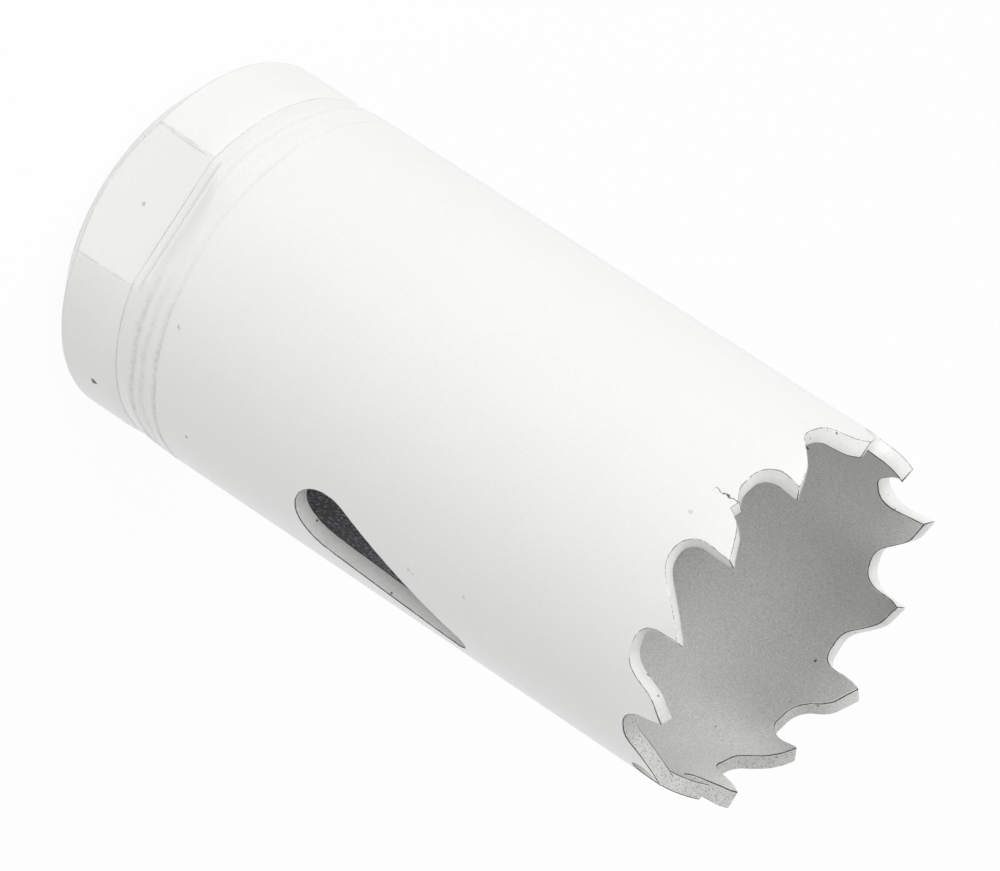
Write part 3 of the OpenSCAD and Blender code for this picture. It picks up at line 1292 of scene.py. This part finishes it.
    def build_peel(self, sheet: Sheet, given: Given) -> bpy.types.NodeSocket:
        """Height of the sprayed paint's skin: fine orange peel and wide waves.

        Args:
            sheet: The group's sheet.
            given: The group's inputs.

        Returns:
            The height.
        """
        place = sheet.place()
        fine = sheet.times(sheet.noise(place, self.peel_size, 2.0), given["Fine"])
        wide = sheet.times(sheet.noise(place, self.wave_size, 2.0), given["Wide"])
        return sheet.math("ADD", fine, wide)


@dataclass(frozen=True)
class Chip:
    """A small ragged chip in the enamel.

    Attributes:
        place: Where it is, in millimetres.
        radius: Its size, in millimetres.
        depth: How dark it is, from 0 to 1.
    """

    place: Point3
    radius: float
    depth: float = 1.0


@dataclass(frozen=True)
class Enamel:
    """The white enamel, with its wear for one region of the saw.

    Attributes:
        name: The material's name.
        colour: Its colour.
        dark: Colour of what shows where it is worn or chipped.
        roughness: Roughness of its surface.
        worn_roughness: What wear adds to that.
        coat: Weight of its clear gloss.
        coat_roughness: Roughness of the gloss.
        skin: Height of its orange peel.
        grain: Strength of its fine grain.
        mottle: Strength of its wide mottling.
        speck_share: Share of the cells that have a speck.
        speck_cells: How many cells there are in a metre.
        speck_size: Size of a speck, in cells.
        cover: How much of each rounded edge is worn.
        broken: How broken the worn line is.
        metallic: 1 where it is bare metal.
        chips: Its chips.
    """

    name: str
    colour: Colour = (0.87, 0.87, 0.86)
    dark: Colour = (0.10, 0.10, 0.095)
    roughness: float = 0.34
    worn_roughness: float = 0.25
    coat: float = 0.35
    coat_roughness: float = 0.12
    skin: float = 0.004
    grain: float = 0.07
    mottle: float = 0.014
    speck_share: float = 0.0025
    speck_cells: float = 500.0
    speck_size: float = 0.1
    cover: float = 0.0
    broken: float = 0.0
    metallic: float = 0.0
    chips: tuple[Chip, ...] = ()

    def base(self, sheet: Sheet) -> object:
        """Colour of the paint before its grain."""
        return (*self.colour, 1)

    def paint(self, sheet: Sheet, effects: Effects) -> bpy.types.NodeSocket:
        """Colour of the unworn paint.

        Args:
            sheet: The material's sheet.
            effects: The shared node groups.

        Returns:
            The colour.
        """
        values = {"Grain": self.grain, "Mottle": self.mottle}
        shade = sheet.add("Group", values, node_tree=effects.grain)
        return sheet.mix(1.0, self.base(sheet), shade.outputs[0], "MULTIPLY")

    def wear(self, sheet: Sheet, effects: Effects) -> bpy.types.NodeSocket:
        """Mask of all that is worn, chipped or specked.

        Args:
            sheet: The material's sheet.
            effects: The shared node groups.

        Returns:
            The mask.
        """
        values = {"Share": self.speck_share, "Cells": self.speck_cells, "Size": self.speck_size}
        mask = sheet.add("Group", values, node_tree=effects.specks).outputs[0]
        if self.cover:
            values = {"Cover": self.cover, "Broken": self.broken}
            line = sheet.add("Group", values, node_tree=effects.worn_line)
            mask = sheet.math("MAXIMUM", mask, line.outputs[0])
        for chip in self.chips:
            values = {"Place": [c * MM for c in chip.place], "Radius": chip.radius * MM}
            spot = sheet.add("Group", values, node_tree=effects.chip)
            mask = sheet.math("MAXIMUM", mask, sheet.times(spot.outputs[0], chip.depth))
        return mask

    def material(self, effects: Effects) -> bpy.types.Material:
        """Builds the material.

        Args:
            effects: The shared node groups.

        Returns:
            The material.
        """
        material = bpy.data.materials.new(self.name)
        material.use_nodes = True
        sheet = Sheet(material.node_tree)
        shader = material.node_tree.nodes["Principled BSDF"]
        mask = self.wear(sheet, effects)
        colour = sheet.mix(mask, self.paint(sheet, effects), (*self.dark, 1))
        peel = sheet.add("Group", node_tree=effects.peel)
        height = sheet.math("SUBTRACT", peel.outputs[0], mask)
        skin = sheet.add("Bump", {"Height": height, "Strength": 1.0, "Distance": self.skin * MM})
        values = {
            "Base Color": colour,
            "Metallic": self.metallic,
            "Roughness": sheet.math("ADD", self.roughness, sheet.times(mask, self.worn_roughness)),
            "Normal": skin.outputs[0],
            "Coat Weight": self.coat,
            "Coat Roughness": self.coat_roughness,
        }
        for key, value in values.items():
            sheet.put(shader.inputs[key], value)
        return material


@dataclass(frozen=True)
class BodyEnamel(Enamel):
    """The enamel outside the tube, which has cracked along the top of the seam.

    Attributes:
        seam_angle: Direction of the seam, in degrees.
        seam_top: Height of the seam's top.
        seam_r: Radius that it lies on.
        crack_len: How far the crack goes down.
        crack_fade: Over how much of that it ends.
        crack_w: How wide the crack is.
        crack_wander: How far it wanders sideways.
    """

    seam_angle: float = -21.3
    seam_top: float = 49.0
    seam_r: float = 12.1
    crack_len: float = 2.1
    crack_fade: float = 0.3
    crack_w: float = 0.16
    crack_wander: float = 0.8

    def wear(self, sheet: Sheet, effects: Effects) -> bpy.types.NodeSocket:
        """Mask of the wear, with the crack.

        Args:
            sheet: The material's sheet.
            effects: The shared node groups.

        Returns:
            The mask.
        """
        mask = super().wear(sheet, effects)
        turn = math.radians(self.seam_angle)
        place = sheet.place()
        across = sheet.along(place, (-math.sin(turn), math.cos(turn), 0))
        out = sheet.along(place, (math.cos(turn), math.sin(turn), 0))
        uneven = sheet.math("SUBTRACT", sheet.noise(place, 0.45, 6.0), 0.5)
        off = sheet.math("ABSOLUTE", sheet.math("ADD", across, sheet.times(uneven, self.crack_wander * MM)))
        wide = sheet.times(sheet.noise(place, 0.2, 3.0), self.crack_w * MM)
        line = sheet.fade(off, wide, 0.02 * MM)
        end = self.seam_top - self.crack_len
        low = sheet.fade(sheet.along(place, UP), end * MM, (end + self.crack_fade) * MM)
        gaps = sheet.fade(sheet.noise(place, 0.3, 3.0), 0.4, 0.5)
        outside = sheet.math("GREATER_THAN", out, (self.seam_r - 0.3) * MM)
        return sheet.math("MAXIMUM", mask, sheet.times(line, low, gaps, outside))


@dataclass(frozen=True)
class WeldEnamel(Enamel):
    """The enamel on the weld, with soft painted shade in its ripples' grooves and in the crease at its foot.

    Attributes:
        groove_shade: How strong that painted shade shows.
    """

    groove_shade: float = 0.55

    def wear(self, sheet: Sheet, effects: Effects) -> bpy.types.NodeSocket:
        """Mask of the wear, with the painted shade in the grooves.

        Args:
            sheet: The material's sheet.
            effects: The shared node groups.

        Returns:
            The mask.
        """
        patchy = sheet.fade(sheet.noise(sheet.place(), 0.35, 4.0), 0.2, 0.75)
        # Painted shade in the weld's grooves and in the crease at its foot.
        soft = sheet.math("MULTIPLY", sheet.times(sheet.mark("edge"), patchy), self.groove_shade, clamp=True)
        return sheet.math("MAXIMUM", super().wear(sheet, effects), soft)


@dataclass(frozen=True)
class CutEnamel(Enamel):
    """The enamel on the gullets' walls and the teeth's backs, with painted shade beside the inner edge, and
    painted shade with dirt spots on the side away from the seam and the light.

    Attributes:
        painted_shade: Its colour beside the inner edge, a painted shade of the wall's rounded side.
        shade_and_dirt: Its colour on the side away from the light, painted shade with dirt in it.
        grit: Colour of the spots of dirt there.
        shade_dirt_low: Height below which the painted shade and dirt are thin.
        shade_dirt_high: Height above which they are full.
        shade_dirt_way: Direction of the side away from the light.
        shade_dirt_from: How far that way the painted shade and dirt begin.
        shade_dirt_to: How far that way they are full.
    """

    painted_shade: Colour = (0.66, 0.66, 0.65)
    shade_and_dirt: Colour = (0.53, 0.525, 0.505)
    grit: Colour = (0.22, 0.21, 0.18)
    shade_dirt_low: float = 38.0
    shade_dirt_high: float = 47.0
    shade_dirt_way: Point3 = (-0.35, 1.0, 0.0)
    shade_dirt_from: float = 3.0
    shade_dirt_to: float = 9.0

    def paint(self, sheet: Sheet, effects: Effects) -> bpy.types.NodeSocket:
        """Colour of the paint, with painted shade beside the inner edge.

        Args:
            sheet: The material's sheet.
            effects: The shared node groups.

        Returns:
            The colour, with its painted shade and dirt.
        """
        light = super().paint(sheet, effects)
        place = sheet.place()
        rough = sheet.times(sheet.noise(place, 0.4, 4.0), 0.5)
        # Painted shade: each wall darkens towards its inner edge.
        near = sheet.fade(sheet.math("ADD", sheet.mark("inward"), rough), 0.6, 1.25)
        light = sheet.mix(sheet.times(near, 0.6), light, (*self.painted_shade, 1))
        # Painted shade with dirt: higher up and on the side away from the light, the walls darken and take
        # spots of grit.
        high = sheet.fade(sheet.along(place, UP), self.shade_dirt_low * MM, self.shade_dirt_high * MM)
        away = sheet.fade(sheet.along(place, self.shade_dirt_way), self.shade_dirt_from * MM, self.shade_dirt_to * MM)
        side = sheet.times(away, sheet.math("ADD", high, 0.2, clamp=True))
        patchy = sheet.fade(sheet.noise(place, 0.1, 5.0), -0.3, 0.75)
        spots = sheet.fade(sheet.noise(place, 0.11, 3.0), 0.54, 0.66)
        shade_and_dirt = sheet.mix(spots, (*self.shade_and_dirt, 1), (*self.grit, 1))
        return sheet.mix(sheet.times(side, patchy), light, shade_and_dirt)


@dataclass(frozen=True)
class InsideEnamel(Enamel):
    """The overspray inside the tube, sprayed thinly: grey near the rim, with painted shade near the rim at
    -X, and dark and speckled further down.

    Attributes:
        rim: Colour beside the teeth.
        rim_shaded: Colour beside the teeth at -X, a painted shade there.
        shade_from: Place along X where the painted shade begins.
        shade_to: Place along X where it is full.
        rim_low: Height below which the rim's colour is gone.
        rim_high: Height above which it is full.
        deep: Colour far down.
        fleck: Colour of the light flecks far down.
        fade_from: Height where it starts to darken.
        fade_to: Height where it is darkest.
        uneven: How far the noise moves that up and down.
    """

    rim: Colour = (0.68, 0.685, 0.665)
    rim_shaded: Colour = (0.47, 0.475, 0.455)
    shade_from: float = -8.0
    shade_to: float = -10.2
    rim_low: float = 37.5
    rim_high: float = 48.0
    deep: Colour = (0.3, 0.3, 0.32)
    fleck: Colour = (0.85, 0.86, 0.88)
    fade_from: float = 37.0
    fade_to: float = 26.0
    uneven: float = 9.0

    def base(self, sheet: Sheet) -> object:
        """Colour of the overspray before its grain, down to where it fades.

        Args:
            sheet: The material's sheet.

        Returns:
            The colour.
        """
        place = sheet.place()
        # Painted shade: the rim's colour darkens towards -X.
        painted_shade = sheet.fade(sheet.along(place, (1.0, 0.0, 0.0)), self.shade_from * MM, self.shade_to * MM)
        rim = sheet.mix(painted_shade, (*self.rim, 1), (*self.rim_shaded, 1))
        high = sheet.fade(sheet.along(place, UP), self.rim_low * MM, self.rim_high * MM)
        return sheet.mix(high, (*self.colour, 1), rim)

    def paint(self, sheet: Sheet, effects: Effects) -> bpy.types.NodeSocket:
        """Colour of the overspray.

        Args:
            sheet: The material's sheet.
            effects: The shared node groups.

        Returns:
            The colour, dark and flecked far down.
        """
        light = super().paint(sheet, effects)
        place = sheet.place()
        uneven = sheet.times(sheet.math("SUBTRACT", sheet.noise(place, 0.3, 3.0), 0.5), self.uneven * MM)
        height = sheet.math("ADD", sheet.along(place, UP), uneven)
        share = sheet.fade(height, self.fade_from * MM, self.fade_to * MM)
        flecks = sheet.fade(sheet.noise(place, 0.2, 3.0), 0.46, 0.68)
        deep = sheet.mix(flecks, (*self.deep, 1), (*self.fleck, 1))
        return sheet.mix(share, light, deep)


@dataclass
class Studio:
    """The plain floor, the soft lights and the camera at the photograph's angle."""

    floor_size: float = 12000.0
    floor_gap: float = 0.02
    white: float = 0.95
    world: float = 0.6
    key_place: Point3 = (574.0, -517.0, 630.0)
    key_size: float = 1100.0
    key_power: float = 6.2
    target: Point3 = (0.0, 0.107, 26.96)
    distance: float = 536.11
    azimuth: float = -0.863
    elevation: float = 29.096
    roll: float = 123.373
    focal: float = 322.12
    sensor: float = 36.0

    def build_floor(self) -> bpy.types.Object:
        """Lays the plain floor. It looks white to the camera and in reflections, and keeps its shadow.

        Returns:
            The floor.
        """
        deselect_all()
        bpy.ops.mesh.primitive_plane_add(size=self.floor_size * MM, location=(0, 0, -self.floor_gap * MM))
        floor = bpy.context.active_object
        floor.name = "floor"
        material = bpy.data.materials.new("pale_floor")
        material.use_nodes = True
        sheet = Sheet(material.node_tree)
        shader = material.node_tree.nodes["Principled BSDF"]
        values = {"Base Color": (0.9, 0.9, 0.9, 1), "Roughness": 0.9, "Specular IOR Level": 0.1}
        for key, value in values.items():
            sheet.put(shader.inputs[key], value)
        glow = sheet.add("Emission", {"Strength": 1.0})
        path = sheet.add("LightPath")
        seen = sheet.math("MAXIMUM", path.outputs["Is Camera Ray"], path.outputs["Is Glossy Ray"])
        seen = sheet.math("MAXIMUM", seen, path.outputs["Is Transmission Ray"])
        share = sheet.times(seen, self.white)
        mixed = sheet.add("MixShader", {0: share, 1: shader.outputs[0], 2: glow.outputs[0]})
        sheet.put(material.node_tree.nodes["Material Output"].inputs["Surface"], mixed.outputs[0])
        floor.data.materials.append(material)
        return floor

    def build_lights(self) -> None:
        """Sets an even world and one large soft lamp over the side that the photograph's top shows."""
        world = bpy.data.worlds.new("studio")
        world.use_nodes = True
        world.node_tree.nodes["Background"].inputs["Color"].default_value = (1, 1, 1, 1)
        world.node_tree.nodes["Background"].inputs["Strength"].default_value = self.world
        bpy.context.scene.world = world
        data = bpy.data.lights.new("key", "AREA")
        data.energy = self.key_power
        data.size = self.key_size * MM
        lamp = bpy.data.objects.new("key", data)
        lamp.location = Vector(self.key_place) * MM
        aim = Vector(self.target) - Vector(self.key_place)
        lamp.rotation_euler = aim.to_track_quat("-Z", "Y").to_euler()
        bpy.context.scene.collection.objects.link(lamp)

    def build_camera(self) -> bpy.types.Object:
        """Places the camera and makes it the scene's own.

        Returns:
            The camera.
        """
        turn, rise = math.radians(self.azimuth), math.radians(self.elevation)
        back = Vector((math.cos(turn) * math.cos(rise), math.sin(turn) * math.cos(rise), math.sin(rise)))
        data = bpy.data.cameras.new("camera")
        data.lens = self.focal
        data.sensor_width = self.sensor
        data.clip_start = 0.01
        data.clip_end = 100.0
        camera = bpy.data.objects.new("camera", data)
        upright = back.to_track_quat("Z", "Y").to_matrix().to_4x4()
        camera.matrix_world = (
            Matrix.Translation((Vector(self.target) + back * self.distance) * MM)
            @ upright
            @ Matrix.Rotation(math.radians(self.roll), 4, "Z")
        )
        bpy.context.scene.collection.objects.link(camera)
        bpy.context.scene.camera = camera
        return camera

    def build(self) -> None:
        """Makes the floor, lights and camera, and the plain colour management."""
        self.build_floor()
        self.build_lights()
        self.build_camera()
        bpy.context.scene.view_settings.view_transform = "Standard"


@dataclass
class HoleSaw:
    """The whole saw: its three pieces and their finishes."""

    tube: ToothedTube = field(default_factory=ToothedTube)
    weld: WeldBead = field(default_factory=WeldBead)
    cap: ThreadedCap = field(default_factory=ThreadedCap)
    tube_chips: tuple[Chip, ...] = (
        Chip((11.86, -2.4, 46.82), 0.12, 0.25),
        Chip((7.42, 9.56, 30.8), 0.14, 0.22),
        Chip((7.3, 9.65, 31.15), 0.1, 0.25),
        Chip((7.99, 9.09, 35.26), 0.12, 0.2),
        Chip((6.07, 10.47, 12.31), 0.11, 0.6),
        Chip((10.97, 5.1, 10.6), 0.1, 0.35),
    )
    inside_chips: tuple[Chip, ...] = (
        Chip((-10.99, 1.16, 47.4), 0.08),
        Chip((-7.99, 7.64, 45.67), 0.06),
    )
    cap_chips: tuple[Chip, ...] = (
        Chip((5.27, 10.83, 4.17), 0.21),
        Chip((11.05, 0.11, 3.89), 0.12, 0.4),
    )

    def dress(
        self, piece: bpy.types.Object, finishes: Sequence[Enamel], node: str, effects: Effects
    ) -> None:
        """Gives a piece its finishes and its place in the frame.

        Args:
            piece: The finished mesh.
            finishes: A finish for each coat, in the order of the slots.
            node: The CAD node that it stands for.
            effects: The shared node groups.
        """
        for i, finish in enumerate(finishes):
            known = bpy.data.materials.get(finish.name)
            piece.data.materials[i] = known or finish.material(effects)
        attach(piece, BODY if BODY in frame["bodies"] else next(iter(frame["bodies"])))
        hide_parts(node)
        faces, open_edges = len(piece.data.polygons), count_open_edges(piece)
        log.info("%s: %d faces, %d open edges", piece.name, faces, open_edges)

    def build(self, effects: Effects) -> None:
        """Builds and dresses the three pieces.

        Args:
            effects: The shared node groups.
        """
        outside = BodyEnamel("enamel_outside", chips=self.tube_chips)
        within = InsideEnamel("overspray_inside", colour=(0.84, 0.85, 0.83), roughness=0.55, coat=0.0,
                              grain=0.4, mottle=0.05, speck_share=0.01, chips=self.inside_chips)
        worn = Enamel("enamel_worn_edge", dark=(0.06, 0.062, 0.062), cover=0.72, broken=0.75)
        cut = CutEnamel("enamel_cut", dark=(0.2, 0.19, 0.165), speck_share=0.09, speck_cells=2600.0,
                        speck_size=0.22, grain=0.14, mottle=0.03)
        # The weld's dark colour serves its specks and the painted shade in its grooves.
        bead = WeldEnamel("enamel_weld", dark=(0.5, 0.5, 0.48), grain=0.09)
        cap_skin = Enamel("enamel_cap", chips=self.cap_chips)
        cap_edge = Enamel("enamel_cap_edge", dark=(0.72, 0.72, 0.71), cover=0.5, broken=0.9)
        thread = Enamel("thread_steel", colour=(0.5, 0.49, 0.47), roughness=0.38, coat=0.0, grain=0.08,
                        metallic=1.0)
        self.dress(self.tube.build(), (outside, within, worn, cut), "saw_tube", effects)
        self.dress(self.weld.build(), (bead, within), "weld_ring", effects)
        self.dress(self.cap.build(), (cap_skin, thread, cap_edge), "cap", effects)


def main() -> None:
    """Builds the saw and its studio, and reports each piece."""
    logging.basicConfig(level=logging.INFO, format="%(message)s")
    HoleSaw().build(Effects())
    Studio().build()


if __name__ == "__main__":
    main()
